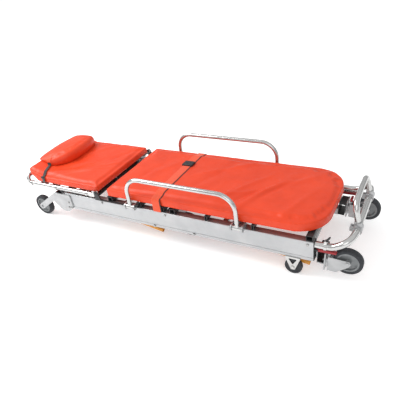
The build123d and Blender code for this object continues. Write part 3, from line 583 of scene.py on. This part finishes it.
def draped_strap(name, x_centre, width, thickness, gap, surface, material):
    """A strap across the leg pad, laid on its surface, and straight down both sides."""
    half = BELT_HIGH.y - 0.0018
    edge = half - 0.004
    columns, rows = 9, 66
    points, faces = [], []
    for row in range(rows + 1):
        reach = (-1 + 2 * row / rows) * (half + 0.055)
        for i in range(columns):
            x = x_centre + (i / (columns - 1) - 0.5) * width
            if abs(reach) <= edge:
                hit, _, _, _ = surface.ray_cast(Vector((x, reach, 0.5)), Vector((0, 0, -1)))
                height = hit.z if hit else BELT_HIGH.z
                points.append(Vector((x, reach, max(height + gap, TOP_Z - 0.03))))
            else:
                drop = abs(reach) - edge
                side_y = half + gap - 0.0012
                place_y = side_y if reach > 0 else -side_y
                points.append(Vector((x, place_y, BELT_HIGH.z - 0.006 - drop * 1.30)))
    for row in range(rows):
        for i in range(columns - 1):
            a = row * columns + i
            faces.append((a, a + columns, a + columns + 1, a + 1))
    obj = add_object(name, mesh_of(points, faces, name), material)
    solid = obj.modifiers.new("thick", "SOLIDIFY")
    solid.thickness = thickness
    solid.offset = 0
    return subdivide(obj)


def lap_belt(pad):
    """An orange strap over a slightly wider black strip, which shows along its foot edge as a dark line:
    partly a black edge, partly painted shade for the shadow under the strap's edge.
    """
    centre = (BELT_LOW.x + BELT_HIGH.x) / 2
    width = BELT_HIGH.x - BELT_LOW.x
    surface = surface_of(pad)
    belt = draped_strap("lap_belt", centre - 0.001, width - 0.004, 0.0016, 0.0022, surface, ORANGE_WEB)
    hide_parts("belt")
    # black strip a little wider than the belt: its edge at the foot side is partly painted shade, standing
    # in for the shadow line under the strap
    shade_strip = draped_strap("lap_belt_shade_strip", centre + 0.003, width - 0.002, 0.0010, 0.0008, surface,
                           BLACK_WEB)
    for obj in (belt, shade_strip):
        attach(obj, "frame")


def pillow_strap(pad, pillow):
    """Orange tab and black strap that hold the pillow to the head of the backrest."""
    side_y = BACK_LOW.y - 0.001
    over = resample([Vector((x * MM, y * MM, 0)) for x, y in ((-853, -119), (-832, -180), (-806, -244))])
    surfaces = [surface_of(pad), surface_of(pillow)]
    for point in over:
        above = Vector((point.x, point.y, 0.5))
        hits = [surface.ray_cast(above, Vector((0, 0, -1)))[0] for surface in surfaces]
        point.z = max([hit.z for hit in hits if hit] or [TOP_Z]) + STRAP_CLEARANCE
    down = [Vector((x * MM, side_y, z * MM)) for x, z in ((-804, 266), (-805, 252), (-806, 238))]
    dense = resample(over + down)
    across = []
    for i, point in enumerate(dense):
        ahead = dense[min(i + 1, len(dense) - 1)] - dense[max(i - 1, 0)]
        across.append(ahead.cross(Vector((0, -0.35, 1))).normalized())
    strap = ribbon("pillow_strap", dense[TAB_STEPS:], across[TAB_STEPS:], 0.026, 0.0014, BLACK_WEB)
    shown = TAB_STEPS + 1
    tab = ribbon("pillow_tab", dense[:shown], across[:shown], 0.032, 0.0044, ORANGE_WEB)
    for obj in (strap, tab):
        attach(obj, "back")


# ---- stage ------------------------------------------------------------------------------------------
def area_light(name, place, target, size, power):
    data = bpy.data.lights.new(name, "AREA")
    data.energy = power
    data.size = size
    lamp = bpy.data.objects.new(name, data)
    lamp.location = place
    lamp.rotation_euler = (Vector(target) - Vector(place)).to_track_quat("-Z", "Y").to_euler()
    bpy.context.scene.collection.objects.link(lamp)


def sky():
    """A white dome that is greyer near the horizon, so that polished tubes show contrast."""
    world = bpy.data.worlds.new("studio")
    world.use_nodes = True
    tree = world.node_tree
    background = tree.nodes["Background"]
    background.inputs["Strength"].default_value = 0.8
    height = tree.nodes.new("ShaderNodeSeparateXYZ")
    tree.links.new(tree.nodes.new("ShaderNodeTexCoord").outputs["Generated"], height.inputs["Vector"])
    ramp = tree.nodes.new("ShaderNodeValToRGB")
    ramp.color_ramp.elements[0].position = 0.05
    ramp.color_ramp.elements[0].color = (0.55, 0.55, 0.56, 1)
    ramp.color_ramp.elements[1].position = 0.60
    ramp.color_ramp.elements[1].color = (1, 1, 1, 1)
    tree.links.new(height.outputs["Z"], ramp.inputs["Fac"])
    tree.links.new(ramp.outputs["Color"], background.inputs["Color"])
    bpy.context.scene.world = world


def studio():
    mesh = mesh_of([(-30, -30, 0), (30, -30, 0), (30, 30, 0), (-30, 30, 0)], [(0, 1, 2, 3)], "floor")
    floor = add_object("floor", mesh, floor_paint())
    sky()
    area_light("key", (-2.3, -0.7, 2.6), (0, 0, 0.2), 1.8, 85)
    area_light("fill", (1.6, -2.8, 2.0), (0.1, 0, 0.2), 2.4, 20)
    bpy.context.scene.view_settings.view_transform = "Standard"


def camera():
    """The viewing position of the picture: right of the foot end, looking down and along to the head."""
    yaw, pitch, roll = radians(EYE_YAW), radians(EYE_PITCH), radians(EYE_ROLL)
    forward = Vector((-sin(yaw) * cos(pitch), cos(yaw) * cos(pitch), -sin(pitch)))
    level = Vector((cos(yaw), sin(yaw), 0))
    upright = level.cross(forward)
    right = cos(roll) * level + sin(roll) * upright
    up = cos(roll) * upright - sin(roll) * level
    data = bpy.data.cameras.new("camera")
    data.lens = LENS
    data.sensor_width = SENSOR
    eye = bpy.data.objects.new("camera", data)
    turn = Matrix((right, up, -forward)).transposed().to_4x4()
    eye.matrix_world = Matrix.Translation(EYE_PLACE) @ turn
    bpy.context.scene.collection.objects.link(eye)
    bpy.context.scene.camera = eye


finish_nodes()
studio()
camera()
lap_belt(leg_pad())
pillow_strap(back_pad(), pillow_pad())
